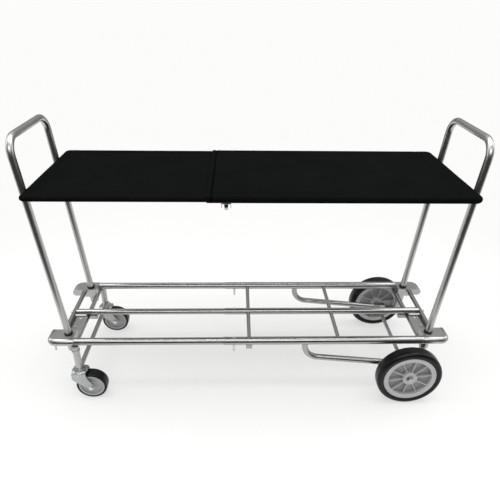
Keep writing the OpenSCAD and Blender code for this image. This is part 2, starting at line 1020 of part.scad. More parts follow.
// Axle bolt with head and nut outside the fork
module caster_axle(side) {
  out = fork_in + fork_t;
  at_caster(side) {
    along_y(-out - 4, out + 5, trail, caster_z, 8);
    translate([trail, -out - 5, caster_z])
      rotate([-90, 0, 0])
        cylinder(d = 13/cos(30), h = 5 - fine, $fn = 6);
    translate([trail, out + fine, caster_z])
      rotate([-90, 0, 0])
        cylinder(d = 13/cos(30), h = 6, $fn = 6);
  }
}

module caster_axle_right() {
  color(zinc_c)
    caster_axle(-1);
}

module caster_axle_left() {
  color(zinc_c)
    caster_axle(1);
}

// Stepped grey caster centre
module caster_hub(side) {
  r = caster_d/2 - 7.5;
  w = caster_w - 3;
  at_caster(side)
    translate([trail, 0, caster_z])
      rotate([90, 0, 0])
        difference() {
          union() {
            difference() {
              cylinder(r = r, h = w, center = true);
              cylinder(r = r - 7, h = w + 1, center = true);
            }
            cylinder(r = r - 6, h = w - 8, center = true);
            cylinder(r = 15, h = w - 3, center = true);
            cylinder(r = 9, h = 2*fork_in - 0.8, center = true);
          }
          cylinder(d = 8 + fine, h = 2*w, center = true);
          for (s = [-1, 1])
            translate([0, 0, s*(w/2 + 1)])
              difference() {
                cylinder(r = r - 9, h = 14, center = true);
                cylinder(r = 15, h = 30, center = true);
              }
        }
}

module caster_hub_right() {
  color(grey_c)
    caster_hub(-1);
}

module caster_hub_left() {
  color(grey_c)
    caster_hub(1);
}

module caster_tyre(side) {
  at_caster(side)
    translate([trail, 0, caster_z])
      rotate([90, 0, 0])
        tyre(caster_d/2 - 7.5 + air, caster_d/2, caster_w, 5);
}

module caster_tyre_right() {
  color(black_c)
    caster_tyre(-1);
}

module caster_tyre_left() {
  color(black_c)
    caster_tyre(1);
}

// ---------- what to draw ----------
rail_rear_right();
rail_rear_left();
rail_rear_mid();
bar_middle();
bar_rear();
cross_rear_in();
cross_rear_out();
bracket_rear_right();
bracket_rear_left();
grommets_rear();
plate_rear();
screws_rear();
carrier_right();
carrier_left();
axle();
axle_blocks();
axle_nuts();
handle_rear();
deck_frame_rear();
deck_cloth_rear();
deck_hooks_rear();
deck_clamp_right();
deck_clamp_left();
rail_rivets();
hub_right();
tyre_right();
hub_left();
tyre_left();
lock_right();
lock_left();
clamp_screw_right();
clamp_screw_left();
rail_front_right();
rail_front_left();
rail_front_mid();
cross_front_in();
cross_front_out();
bracket_front_right();
bracket_front_left();
grommets_front();
plate_front();
screws_front();
stem_right();
stem_left();
brace_front();
handle_front();
deck_frame_front();
deck_cloth_front();
deck_hooks_front();
fork_right();
caster_axle_right();
caster_hub_right();
caster_tyre_right();
fork_left();
caster_axle_left();
caster_hub_left();
caster_tyre_left();
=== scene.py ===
import bpy, math
from mathutils import Matrix, Vector

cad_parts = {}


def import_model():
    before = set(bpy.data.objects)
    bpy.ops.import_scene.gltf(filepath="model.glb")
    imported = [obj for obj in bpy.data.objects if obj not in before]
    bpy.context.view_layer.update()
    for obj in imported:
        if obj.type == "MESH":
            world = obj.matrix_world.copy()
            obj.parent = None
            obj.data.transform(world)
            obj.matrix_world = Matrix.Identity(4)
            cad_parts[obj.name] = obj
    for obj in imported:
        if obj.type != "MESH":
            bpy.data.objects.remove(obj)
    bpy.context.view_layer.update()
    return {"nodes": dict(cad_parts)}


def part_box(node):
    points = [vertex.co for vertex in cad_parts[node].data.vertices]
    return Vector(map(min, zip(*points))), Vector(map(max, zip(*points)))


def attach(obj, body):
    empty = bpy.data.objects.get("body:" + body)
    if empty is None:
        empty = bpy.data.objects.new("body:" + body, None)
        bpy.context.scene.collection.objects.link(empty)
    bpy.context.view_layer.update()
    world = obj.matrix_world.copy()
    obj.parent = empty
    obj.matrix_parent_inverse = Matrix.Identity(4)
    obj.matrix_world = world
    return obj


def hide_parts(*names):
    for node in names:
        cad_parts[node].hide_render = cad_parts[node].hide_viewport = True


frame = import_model()
nodes = frame["nodes"]


def middle(node):
    lo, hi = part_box(node)
    return (lo + hi) / 2


# sizes in metres, taken from the CAD
ROD_R = 0.0057
lo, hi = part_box("deck_frame_front")
DECK_Z = (lo.z + hi.z) / 2
DECK_Y = hi.y - ROD_R
DECK_END = -lo.x - ROD_R
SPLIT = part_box("deck_cloth_rear")[0].x
FRONT_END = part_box("deck_cloth_front")[1].x
CLOTH = 0.0009
CLAMP_X = middle("deck_clamp_right").x
REAR_TUBE_R = 0.0092         # over the rear fabric
FRONT_TUBE_R = 0.0069        # over the front fabric
SIDE_STITCH = 0.019          # stitch line in from the side tubes
END_STITCH = 0.045           # stitch line in from the end tube
SEAM_GROOVE = 0.0120         # groove in from the free edge of the upper panel
THREAD_LIFT = 0.00010        # thread axis above the fabric


# ---------------------------------------------------------------- materials
def new_mat(name):
    m = bpy.data.materials.new(name)
    m.use_nodes = True
    nt = m.node_tree
    return m, nt, nt.nodes["Principled BSDF"]


def tune(m, **sets):
    """Set plain values on a material's main shader, named with _ for spaces."""
    p = m.node_tree.nodes["Principled BSDF"]
    for k, v in sets.items():
        p.inputs[k.replace("_", " ")].default_value = v


def add(nt, kind, **sets):
    n = nt.nodes.new(kind)
    for k, v in sets.items():
        if k in n.inputs:
            n.inputs[k].default_value = v
        else:
            setattr(n, k, v)
    return n


def coords(nt, scale, source="Object"):
    tc = add(nt, "ShaderNodeTexCoord")
    mp = add(nt, "ShaderNodeMapping")
    mp.inputs["Scale"].default_value = scale
    nt.links.new(tc.outputs[source], mp.inputs["Vector"])
    return mp.outputs["Vector"]


def noise(nt, scale, vec, detail=4.0, rough=0.55):
    n = add(nt, "ShaderNodeTexNoise")
    n.inputs["Scale"].default_value = scale
    n.inputs["Detail"].default_value = detail
    n.inputs["Roughness"].default_value = rough
    nt.links.new(vec, n.inputs["Vector"])
    return n.outputs["Fac"]


def ramp(nt, fac, stops):
    r = add(nt, "ShaderNodeValToRGB")
    el = r.color_ramp.elements
    while len(el) < len(stops):
        el.new(0.5)
    for e, (p, c) in zip(el, stops):
        e.position = p
        e.color = (c, c, c, 1) if isinstance(c, (int, float)) else (*c, 1)
    nt.links.new(fac, r.inputs["Fac"])
    return r.outputs["Color"]


def span(nt, fac, lo, hi):
    m = add(nt, "ShaderNodeMapRange")
    m.inputs["To Min"].default_value = lo
    m.inputs["To Max"].default_value = hi
    nt.links.new(fac, m.inputs["Value"])
    return m.outputs["Result"]


def bump(nt, height, dist, strength=1.0, normal=None):
    b = add(nt, "ShaderNodeBump")
    b.inputs["Distance"].default_value = dist
    b.inputs["Strength"].default_value = strength
    nt.links.new(height, b.inputs["Height"])
    if normal is not None:
        nt.links.new(normal, b.inputs["Normal"])
    return b.outputs["Normal"]


def metal(name, base, rough, grain=(300, 300, 300), grain_depth=0.0000008, rough_var=0.05,
          cast=0.0, tint=0.05):
    m, nt, p = new_mat(name)
    p.inputs["Metallic"].default_value = 1.0
    fine = noise(nt, 1.0, coords(nt, grain), 3.0, 0.6)
    wide = noise(nt, 14.0, coords(nt, (1, 1, 1)), 3.0, 0.5)
    lo = tuple(c * (1 - tint) for c in base)
    hi = tuple(min(1, c * (1 + tint)) for c in base)
    col = ramp(nt, wide, [(0.3, lo), (0.7, hi)])
    nt.links.new(col, p.inputs["Base Color"])
    add_r = add(nt, "ShaderNodeMath", operation="ADD")
    nt.links.new(span(nt, fine, rough - rough_var, rough + rough_var), add_r.inputs[0])
    nt.links.new(span(nt, wide, -rough_var * 0.5, rough_var * 0.5), add_r.inputs[1])
    nt.links.new(add_r.outputs[0], p.inputs["Roughness"])
    n = bump(nt, fine, grain_depth)
    if cast:
        n = bump(nt, noise(nt, 420.0, coords(nt, (1, 1, 1)), 5.0, 0.7), cast, 1.0, n)
    nt.links.new(n, p.inputs["Normal"])
    return m


# one steel in three copies, grain along each tube; steel_x and steel_y get a darker base than steel_z,
# painted shade on the level tubes
chrome = {
    "x": metal("steel_x", (0.40, 0.40, 0.39), 0.25, (6, 700, 700), rough_var=0.02),
    "y": metal("steel_y", (0.40, 0.40, 0.39), 0.25, (700, 6, 700), rough_var=0.02),
    "z": metal("steel_z", (0.48, 0.48, 0.47), 0.29, (700, 700, 6), rough_var=0.02),
}
casting = metal("casting", (0.45, 0.45, 0.445), 0.31, (240, 240, 240), 0.00001, 0.05, 0.00002)
zinc = metal("zinc", (0.43, 0.44, 0.445), 0.28, (180, 180, 180), 0.00001, 0.08, 0.00001, 0.10)
bright = metal("bright_screw", (0.66, 0.66, 0.65), 0.24, (400, 400, 400), 0.00002, 0.06, 0.0, 0.05)


def plastic(name, base, rough, grain, depth, tint=0.06):
    m, nt, p = new_mat(name)
    vec = coords(nt, (1, 1, 1))
    wide = noise(nt, 22.0, vec, 4.0)
    fine = noise(nt, grain, vec, 4.0, 0.65)
    lo = tuple(c * (1 - tint) for c in base)
    hi = tuple(min(1, c * (1 + tint)) for c in base)
    nt.links.new(ramp(nt, wide, [(0.3, lo), (0.7, hi)]), p.inputs["Base Color"])
    nt.links.new(span(nt, fine, rough - 0.06, rough + 0.06), p.inputs["Roughness"])
    nt.links.new(bump(nt, fine, depth), p.inputs["Normal"])
    p.inputs["Specular IOR Level"].default_value = 0.45
    return m


grey_plastic = plastic("grey_plastic", (0.45, 0.455, 0.455), 0.42, 900.0, 0.00005, 0.04)


def recess_shade(m, node, deep, level, low):
    """Painted shade: darker tone towards the middle plane of a wheel, deep in its recesses."""
    nt = m.node_tree
    p = nt.nodes["Principled BSDF"]
    ys = [v.co.y for v in nodes[node].data.vertices]
    sep = add(nt, "ShaderNodeSeparateXYZ")
    nt.links.new(coords(nt, (1, 1, 1)), sep.inputs[0])
    off = sep.outputs["Y"]
    for op, val in (("ABSOLUTE", 0.0), ("SUBTRACT", abs(min(ys) + max(ys)) / 2), ("ABSOLUTE", 0.0)):
        k = add(nt, "ShaderNodeMath", operation=op)
        nt.links.new(off, k.inputs[0])
        k.inputs[1].default_value = val
        off = k.outputs[0]
    fade = add(nt, "ShaderNodeMapRange")
    for key, val in (("From Min", deep), ("From Max", level), ("To Min", low), ("To Max", 1.0)):
        fade.inputs[key].default_value = val
    nt.links.new(off, fade.inputs["Value"])
    mul = add(nt, "ShaderNodeVectorMath", operation="SCALE")
    nt.links.new(p.inputs["Base Color"].links[0].from_socket, mul.inputs[0])
    nt.links.new(fade.outputs["Result"], mul.inputs["Scale"])
    nt.links.new(mul.outputs["Vector"], p.inputs["Base Color"])


# painted shade in the hub recesses, darkest at the middle plane
recess_shade(grey_plastic, "hub_right", 0.0025, 0.0145, 0.66)
caster_grey = plastic("caster_grey", (0.36, 0.37, 0.375), 0.42, 900.0, 0.00005, 0.05)
pale_nylon = plastic("pale_nylon", (0.62, 0.62, 0.61), 0.45, 900.0, 0.00004, 0.04)
black_rubber = plastic("black_rubber", (0.006, 0.006, 0.0065), 0.45, 700.0, 0.00009, 0.25)
tyre_rubber = plastic("tyre_rubber", (0.004, 0.004, 0.0043), 0.29, 600.0, 0.00004, 0.3)
tune(tyre_rubber, Specular_IOR_Level=0.24)
black_tube = plastic("black_tube", (0.006, 0.006, 0.0065), 0.40, 500.0, 0.00004, 0.25)
tune(black_tube, Coat_Weight=0.25, Coat_Roughness=0.3)


def canvas():
    m, nt, p = new_mat("deck_canvas")
    uv = coords(nt, (1, 1, 1), "UV")
    waves = []
    for d in ("X", "Y"):
        w = add(nt, "ShaderNodeTexWave", wave_type="BANDS", bands_direction=d)
        w.inputs["Scale"].default_value = 290.0
        w.inputs["Distortion"].default_value = 0.35
        w.inputs["Detail"].default_value = 1.0
        w.inputs["Detail Scale"].default_value = 2.0
        nt.links.new(uv, w.inputs["Vector"])
        waves.append(w.outputs["Fac"])
    mul = add(nt, "ShaderNodeMath", operation="MULTIPLY")
    nt.links.new(waves[0], mul.inputs[0])
    nt.links.new(waves[1], mul.inputs[1])
    weave = mul.outputs[0]
    wide = noise(nt, 9.0, uv, 5.0, 0.6)
    mid = noise(nt, 160.0, uv, 4.0, 0.7)
    a = ramp(nt, wide, [(0.30, (0.0014, 0.0017, 0.0017)), (0.72, (0.0026, 0.0030, 0.0030))])
    mix = add(nt, "ShaderNodeMix", data_type="RGBA", blend_type="ADD")
    mix.inputs["Factor"].default_value = 1.0
    nt.links.new(a, mix.inputs["A"])
    nt.links.new(ramp(nt, mid, [(0.35, (0.0, 0.0, 0.0)), (0.8, (0.0012, 0.0014, 0.0014))]), mix.inputs["B"])
    # shade that collects in the sewn groove beside the seam
    sep = add(nt, "ShaderNodeSeparateXYZ")
    nt.links.new(uv, sep.inputs[0])
    dist = add(nt, "ShaderNodeMath", operation="SUBTRACT")
    nt.links.new(sep.outputs["X"], dist.inputs[0])
    dist.inputs[1].default_value = SPLIT + SEAM_GROOVE
    away = add(nt, "ShaderNodeMath", operation="ABSOLUTE")
    nt.links.new(dist.outputs[0], away.inputs[0])
    groove = add(nt, "ShaderNodeMapRange")
    for key, val in (("From Min", 0.0015), ("From Max", 0.0045), ("To Min", 0.05), ("To Max", 1.0)):
        groove.inputs[key].default_value = val
    nt.links.new(away.outputs[0], groove.inputs["Value"])
    dark = add(nt, "ShaderNodeVectorMath", operation="SCALE")
    nt.links.new(mix.outputs["Result"], dark.inputs[0])
    nt.links.new(groove.outputs["Result"], dark.inputs["Scale"])
    nt.links.new(dark.outputs["Vector"], p.inputs["Base Color"])
    nt.links.new(span(nt, mid, 0.74, 0.92), p.inputs["Roughness"])
    p.inputs["Specular IOR Level"].default_value = 0.03
    n = bump(nt, weave, 0.00018, 0.8)
    n = bump(nt, wide, 0.0022, 0.5, n)
    nt.links.new(n, p.inputs["Normal"])
    return m


cloth_mat = canvas()
thread = plastic("black_thread", (0.0009, 0.0010, 0.0010), 0.8, 1500.0, 0.00005, 0.3)
tune(thread, Specular_IOR_Level=0.02)

FINISH = {
    "rail_": chrome["x"], "bar_": chrome["y"], "cross_": chrome["y"], "brace": chrome["y"],
    "carrier": chrome["x"], "handle": chrome["z"], "bracket": casting, "plate": casting,
    "grommets": black_rubber, "screws": bright, "axle_blocks": casting, "axle_nuts": zinc,
    "axle": zinc, "deck_frame": black_tube, "deck_hooks": casting, "deck_clamp": zinc,
    "rail_rivets": bright, "hub": grey_plastic, "tyre": tyre_rubber, "lock": bright,
    "clamp_screw": black_rubber, "stem": zinc, "fork": zinc, "caster_axle": bright,
    "caster_hub": caster_grey, "caster_tyre": tyre_rubber,
}
for name, ob in nodes.items():
    key = max((k for k in FINISH if name.startswith(k)), key=len, default=None)
    if key is None:
        continue
    ob.data.materials.clear()
    ob.data.materials.append(FINISH[key])


# ---------------------------------------------------------------- mesh helpers
def mesh_object(name, verts, faces, mat, smooth=True, uvs=None):
    me = bpy.data.meshes.new(name)
    me.from_pydata([tuple(v) for v in verts], [], faces)
    me.update()
    if uvs is not None:
        layer = me.uv_layers.new(name="UVMap")
        for poly in me.polygons:
            for li in poly.loop_indices:
                layer.data[li].uv = uvs[me.loops[li].vertex_index]
    me.materials.append(mat)
    ob = bpy.data.objects.new(name, me)
    bpy.context.scene.collection.objects.link(ob)
    if smooth:
        for poly in me.polygons:
            poly.use_smooth = True
    return ob


def bevelled(ob, width, angle=35, segments=2):
    w = ob.modifiers.new("weld", "WELD")
    w.merge_threshold = 0.00001
    b = ob.modifiers.new("bevel", "BEVEL")
    b.width = width
    b.segments = segments
    b.limit_method = "ANGLE"
    b.angle_limit = math.radians(angle)
    b.harden_normals = True
    return ob


# ---------------------------------------------------------------- deck cloths
def cloth_grid(name, x_open, x_end, tube_r, wrap_to, under, fold, replaced):
    """Sheet stretched on three tubes. x_open is the free edge, x_end the tube across the end."""
    sgn = 1 if x_end > x_open else -1
    corner = 0.010
    top = DECK_Z + tube_r
    # columns along the cart: distance from the free edge
    length = abs(x_end - x_open)
    cols = []
    d = 0.0
    while d < length - corner - 1e-6:
        cols.append(d)
        d += 0.0014 if d < 0.024 else 0.0036
    n_corner = 9
    for k in range(n_corner + 1):
        cols.append(length - corner + corner * math.sin(math.pi / 2 * k / n_corner))
    # rows across: distance from the edge, denser at the hems
    half = []
    e = 0.0
    while e < 0.048:
        half.append(e)
        e += 0.0019 if e < 0.026 else 0.0030
    n_mid = 64
    # the upper panel is pulled tight, the lower one hangs so that it can slide below it
    sag, reach, edge_sag = (0.0014, 0.30, 0.55) if fold else (0.0040, 0.10, 0.80)

    def width_at(d):
        over = d - (length - corner)
        if over <= 0:
            return DECK_Y
        return DECK_Y - corner + math.sqrt(max(0.0, corner ** 2 - over ** 2))

    def relief(d, y, w):
        e = w - abs(y)                    # distance from the side tube
        f = length - d                    # distance from the end tube
        z = 0.0
        # gentle sag between the tubes, none at the tubes
        a = min(1.0, e / 0.19)
        b = min(1.0, f / reach)
        c = edge_sag + (1 - edge_sag) * min(1.0, d / 0.10)
        z -= sag * (math.sin(a * math.pi / 2) ** 2) * (math.sin(b * math.pi / 2) ** 2) * c
        # stitched channel along the sides and across the end
        for dist, at, amp in ((e, SIDE_STITCH, 0.00060), (f, END_STITCH, 0.00062)):
            z -= amp * math.exp(-((dist - at) / 0.0022) ** 2)
            if dist < at:
                z += 0.00020 * math.sin(math.pi * min(1, dist / at))
        # puckers that run out from the stitches
        s = d * 2 * math.pi
        along = math.sin(s / 0.017 + 1.7 * math.sin(s / 0.11))
        across = math.sin(y * 2 * math.pi / 0.019 + math.sin(y * 31))
        z += 0.00016 * along * math.exp(-((e - 0.022) / 0.010) ** 2)
        z += 0.00016 * across * math.exp(-((f - 0.049) / 0.011) ** 2)
        # long soft waves
        z += 0.00035 * math.sin(d * 17 + 2.2 * math.sin(y * 12)) * math.sin(a * math.pi / 2)
        # rolled band and groove at the free edge of the upper panel
        if fold:
            z += 0.0013 * math.exp(-((d - 0.0045) / 0.0042) ** 2)
            z -= 0.0007 * math.exp(-((d - SEAM_GROOVE) / 0.0034) ** 2)
            z += 0.0004 * math.exp(-((d - 0.0200) / 0.0050) ** 2)
        return z

    verts, uvs, grid = [], [], []
    for d in cols:
        w = width_at(d)
        ys = [-w + h for h in half]
        inner = ys[-1] + 0.0030
        mids = [inner + (-2 * inner) * k / (n_mid - 1) for k in range(n_mid)]
        ys = ys + mids + [-y for y in reversed(ys)]
        row = []
        for y in ys:
            row.append(len(verts))
            verts.append(Vector((x_open + sgn * d, y, top + relief(d, y, w))))
            uvs.append((x_open + sgn * d, y))
        grid.append(row)
    ny = len(grid[0])
    faces = []
    for i in range(len(grid) - 1):
        for j in range(ny - 1):
            q = (grid[i][j], grid[i + 1][j], grid[i + 1][j + 1], grid[i][j + 1])
            faces.append(q if sgn > 0 else q[::-1])
    # rim: along one side, round the end, back along the other side
    rim = []
    for i, d in enumerate(cols):
        over = max(0.0, d - (length - corner)) / corner
        th = math.asin(min(1, over))
        rim.append((grid[i][0], Vector((sgn * math.sin(th), -math.cos(th), 0))))
    for j in range(1, ny - 1):
        rim.append((grid[-1][j], Vector((sgn, 0, 0))))
    for i in range(len(cols) - 1, -1, -1):
        d = cols[i]
        over = max(0.0, d - (length - corner)) / corner
        th = math.asin(min(1, over))
        rim.append((grid[i][-1], Vector((sgn * math.sin(th), math.cos(th), 0))))
    prev = [r[0] for r in rim]
    centres = [Vector((verts[r[0]].x, verts[r[0]].y, DECK_Z)) for r in rim]
    steps = []
    n_arc = max(6, int((90 - wrap_to) / 15))
    for k in range(1, n_arc + 1):
        steps.append(("arc", 90 + (wrap_to - 90) * k / n_arc))
    for s in under:
        steps.append(("flat", s))
    run = 0.0
    for kind, val in steps:
        ring = []
        if kind == "arc":
            run += tube_r * math.radians((90 - wrap_to) / n_arc)
        else:
            run += 0.006
        for (vi, n), c in zip(rim, centres):
            base = verts[vi]
            if kind == "arc":
                a = math.radians(val)
                p = c + n * (tube_r * math.cos(a)) + Vector((0, 0, tube_r * math.sin(a)))
                p.z += (base.z - top) * max(0.0, math.sin(a))
            else:
                p = c - n * val + Vector((0, 0, tube_r - 0.0007))
            ring.append(len(verts))
            verts.append(p)
            uvs.append((uvs[vi][0] + n.x * run, uvs[vi][1] + n.y * run))
        for k in range(len(ring) - 1):
            q = (prev[k], ring[k], ring[k + 1], prev[k + 1])
            faces.append(q if sgn > 0 else q[::-1])
        prev = ring
    # the free edge is folded under for a hem
    if fold:
        prev = grid[0]
        for dx, dz in ((-0.0008, -0.0003), (-0.0009, -0.0008), (0.0, -0.0010), (0.008, -0.0009)):
            ring = []
            for vi in grid[0]:
                v = verts[vi]
                ring.append(len(verts))
                verts.append(Vector((v.x + sgn * dx, v.y, v.z + dz)))
                uvs.append((uvs[vi][0] - sgn * 0.002, uvs[vi][1]))
            for k in range(len(ring) - 1):
                q = (prev[k], prev[k + 1], ring[k + 1], ring[k])
                faces.append(q if sgn > 0 else q[::-1])
            prev = ring
    ob = mesh_object(name, verts, faces, cloth_mat, True, uvs)
    so = ob.modifiers.new("thick", "SOLIDIFY")
    so.thickness = CLOTH
    so.offset = -1.0
    so.use_rim = True
    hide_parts(*replaced)

    def height(d, y):
        return top + relief(d, y, width_at(d))
    return ob, height, sgn, length, width_at


def stitches(name, rows):
    """Rows of short threads lying on a cloth. Each row holds (start, end) pairs."""
    verts, faces = [], []
    ringn = 6
    up = Vector((0, 0, 1))
    prof = [(0.0, 0.15), (0.18, 0.75), (0.5, 1.0), (0.82, 0.75), (1.0, 0.15)]
    for pts in rows:
        for p, q in pts[:-1]:
            ax = q - p
            ln = ax.length
            ax.normalize()
            side = ax.cross(up).normalized()
            base = len(verts)
            for t, r in prof:
                c = p + ax * (ln * t) + up * (0.00018 * math.sin(math.pi * t))
                for m in range(ringn):
                    a = 2 * math.pi * m / ringn
                    verts.append(c + side * (0.00038 * r * math.cos(a)) + up * (0.00030 * r * math.sin(a)))
            for s in range(len(prof) - 1):
                for m in range(ringn):
                    a = base + s * ringn + m
                    b = base + s * ringn + (m + 1) % ringn
                    faces.append((a, b, b + ringn, a + ringn))
            faces.append(tuple(base + m for m in reversed(range(ringn))))
            faces.append(tuple(base + (len(prof) - 1) * ringn + m for m in range(ringn)))
    return mesh_object(name, verts, faces, thread, True)


def stitch_rows(x_open, sgn, length, width_at, height, fold):
    """Stitch lines along both sides, across the end, and twice along the seam of the upper panel."""
    rows = []

    def row(points):
        pairs = [(a.lerp(b, 0.14), a.lerp(b, 0.86)) for a, b in zip(points, points[1:])]
        rows.append(pairs + [pairs[-1]])

    def spot(d, y):
        return Vector((x_open + sgn * d, y, height(d, y) + THREAD_LIFT))
    step = 0.0040
    for side in (-1, 1):
        pts = []
        d = 0.004
        while d < length - 0.012:
            w = width_at(min(d, length - 0.02))
            pts.append(spot(d, side * (w - SIDE_STITCH)))
            d += step
        row(pts)
    y = -(DECK_Y - 0.012)
    pts = []
    while y < DECK_Y - 0.012:
        pts.append(spot(length - END_STITCH, y))
        y += step
    row(pts)
    if fold:
        for dd in (0.0108, 0.0140):
            y = -(DECK_Y - 0.002)
            pts = []
            while y < DECK_Y - 0.002:
                pts.append(spot(dd, y))
                y += step
            row(pts)
    return rows


rear, rear_h, s1, len1, w1 = cloth_grid("canvas_rear", SPLIT, DECK_END, REAR_TUBE_R, -100, (),
                                        True, ["deck_cloth_rear"])
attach(rear, "frame_rear")
rear_st = stitches("canvas_rear_stitches", stitch_rows(SPLIT, s1, len1, w1, rear_h, True))
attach(rear_st, "frame_rear")
front, front_h, s2, len2, w2 = cloth_grid("canvas_front", FRONT_END, -DECK_END, FRONT_TUBE_R, -238,
                                          (0.0062, 0.0125, 0.0185), False, ["deck_cloth_front"])
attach(front, "frame_front")
front_st = stitches("canvas_front_stitches", stitch_rows(FRONT_END, s2, len2, w2, front_h, False))
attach(front_st, "frame_front")


# ---------------------------------------------------------------- wheels
def lathe(name, profile, centre, mat, n):
    """Closed ring about the Y axis. profile holds (radius, y) in order round the section."""
    verts, faces = [], []
    m = len(profile)
    for k in range(n):
        a = 2 * math.pi * k / n
        for r, y in profile:
            verts.append(Vector((centre.x + r * math.cos(a), centre.y + y, centre.z + r * math.sin(a))))
    for k in range(n):
        for j in range(m):
            a, b = k * m + j, k * m + (j + 1) % m
            c, d = ((k + 1) % n) * m + (j + 1) % m, ((k + 1) % n) * m + j
            faces.append((a, b, c, d))
    return mesh_object(name, verts, faces, mat, True)


def tyre_profile(r_in, r_out, w, shoulder, groove):
    """Half section from the bore to the tread, then mirrored."""
    h = w / 2
    half = [(r_in, -h + 0.0016), (r_in + 0.0004, -h + 0.0006), (r_in + 0.0014, -h + 0.0002)]
    half += [(groove - 0.0011, -h + 0.0001), (groove - 0.0004, -h + 0.0006), (groove, -h + 0.0009),
             (groove + 0.0004, -h + 0.0006), (groove + 0.0011, -h)]
    rc, yc = r_out - shoulder, -h + shoulder
    for k in range(0, 11):
        a = math.radians(90 - 9 * k)
        half.append((rc + shoulder * math.cos(a) * 0.999, yc - shoulder * math.sin(a)))
    crown = [(r_out + 0.0004 * (1 - (t / 5) ** 2), yc + (0 - yc) * (1 - t / 5)) for t in (4, 3, 2, 1, 0)]
    half += crown
    return half + [(r, -y) for r, y in reversed(half[:-1])]


def tyres():
    for side in ("right", "left"):
        lo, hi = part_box("tyre_" + side)
        c, r = (lo + hi) / 2, (hi.x - lo.x) / 2
        w = hi.y - lo.y
        prof = tyre_profile(0.0829, r - 0.0004, w, 0.0105, 0.0868)
        o = lathe("tyre_big_" + side, prof, c, tyre_rubber, 160)
        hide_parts("tyre_" + side)
        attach(o, "wheel_" + side)
        lo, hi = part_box("caster_tyre_" + side)
        c, r = (lo + hi) / 2, (hi.x - lo.x) / 2
        prof = tyre_profile(r - 0.0071, r - 0.0003, hi.y - lo.y, 0.0050, r - 0.0056)
        o = lathe("tyre_small_" + side, prof, c, tyre_rubber, 112)
        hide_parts("caster_tyre_" + side)
        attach(o, "caster_wheel_" + side)


tyres()


# ---------------------------------------------------------------- deck clamps and their screws
def extrude_y(name, outline, y0, y1, mat):
    """Closed outline in x and z, pushed from y0 to y1."""
    n = len(outline)
    verts = [Vector((x, y0, z)) for x, z in outline] + [Vector((x, y1, z)) for x, z in outline]
    faces = [tuple(range(n)), tuple(reversed(range(n, 2 * n)))]
    faces += [(k, k + n, (k + 1) % n + n, (k + 1) % n) for k in range(n)]
    o = mesh_object(name, verts, faces, mat, False)
    return o


def upright(name, prof, x, y, n, mat, knurl=0.0):
    """Turned piece about a vertical axis below the deck tube. prof holds (radius, height)."""
    verts, faces = [], []
    for k in range(n):
        a = 2 * math.pi * k / n
        for r, z in prof:
            rr = r - (knurl * (0.5 + 0.5 * math.cos(24 * a)) if r > 0.005 else 0)
            verts.append(Vector((x + rr * math.cos(a), y + rr * math.sin(a), DECK_Z + z)))
    m = len(prof)
    for k in range(n):
        for j in range(m - 1):
            a, b = k * m + j, ((k + 1) % n) * m + j
            faces.append((a, b, b + 1, a + 1))
    o = mesh_object(name, verts, faces, mat, True)
    wl = o.modifiers.new("weld", "WELD")
    wl.merge_threshold = 0.00002
    return o


def clamps():
    w, t = 0.0125, 0.0013
    for side, sg in (("right", -1), ("left", 1)):
        y = sg * DECK_Y
        z0, z1, z2 = DECK_Z - 0.0212, DECK_Z - 0.0110, DECK_Z - 0.0098
        x = CLAMP_X
        ears = [(x - w, z2), (x - w, z0), (x - w + t, z0), (x - w + t, z1), (x + w - t, z1),
                (x + w - t, z0), (x + w, z0), (x + w, z2)]
        o = extrude_y("clamp_ears_" + side, ears, y - 0.0058, y + 0.0058, bright)
        b = o.modifiers.new("bevel", "BEVEL")
        b.width, b.segments, b.limit_method = 0.0004, 2, "ANGLE"
        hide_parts("deck_clamp_" + side)
        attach(o, "frame_rear")
        # black band that grips the tube over the cloth
        verts, faces = [], []
        angs = [math.radians(-90 + v) for v in range(-64, 65, 8)]
        xs = [x - w, x - w + 0.0004, x + w - 0.0004, x + w]
        rs = [0.0098, 0.0101, 0.0101, 0.0098]
        for a in angs:
            for xx, rr in zip(xs, rs):
                verts.append(Vector((xx, y + rr * math.cos(a), DECK_Z + rr * math.sin(a))))
        m = len(xs)
        for k in range(len(angs) - 1):
            for j in range(m - 1):
                faces.append((k * m + j, k * m + j + 1, (k + 1) * m + j + 1, (k + 1) * m + j))
        band = mesh_object("clamp_band_" + side, verts, faces, black_tube, True)
        so = band.modifiers.new("thick", "SOLIDIFY")
        so.thickness, so.offset = 0.0008, 0.0
        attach(band, "frame_rear")
        # screw: knurled black head, pale threaded tip
        prof = [(0.0, -0.0124), (0.0045, -0.0124), (0.0052, -0.0130), (0.0053, -0.0140), (0.0053, -0.0196),
                (0.0052, -0.0206), (0.0045, -0.0211), (0.0, -0.0211)]
        head = upright("clamp_knob_" + side, prof, x, y, 72, black_rubber, knurl=0.00035)
        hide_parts("clamp_screw_" + side)
        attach(head, "deck_screw_" + side)
        prof = [(0.0, -0.0208), (0.0044, -0.0208), (0.0047, -0.0212)]
        for k in range(9):
            prof.append((0.0047 - (0.0003 if k % 2 else 0), -0.0216 - k * 0.0006))
        prof += [(0.0047, -0.0268), (0.0042, -0.0274), (0.0020, -0.0276), (0.0, -0.0276)]
        tip = upright("clamp_tip_" + side, prof, x, y, 48, pale_nylon)
        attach(tip, "deck_screw_" + side)


clamps()


# ---------------------------------------------------------------- softened edges on the castings
def pressed(node, voxel, smooth):
    """Pressed or cast look: the node's own solids blended into one rounded skin."""
    o = nodes[node]
    w = o.modifiers.new("weld", "WELD")
    w.merge_threshold = 0.00001
    r = o.modifiers.new("skin", "REMESH")
    r.mode, r.voxel_size, r.use_smooth_shade = "VOXEL", voxel, True
    m = o.modifiers.new("soften", "SMOOTH")
    m.factor, m.iterations = 0.5, smooth


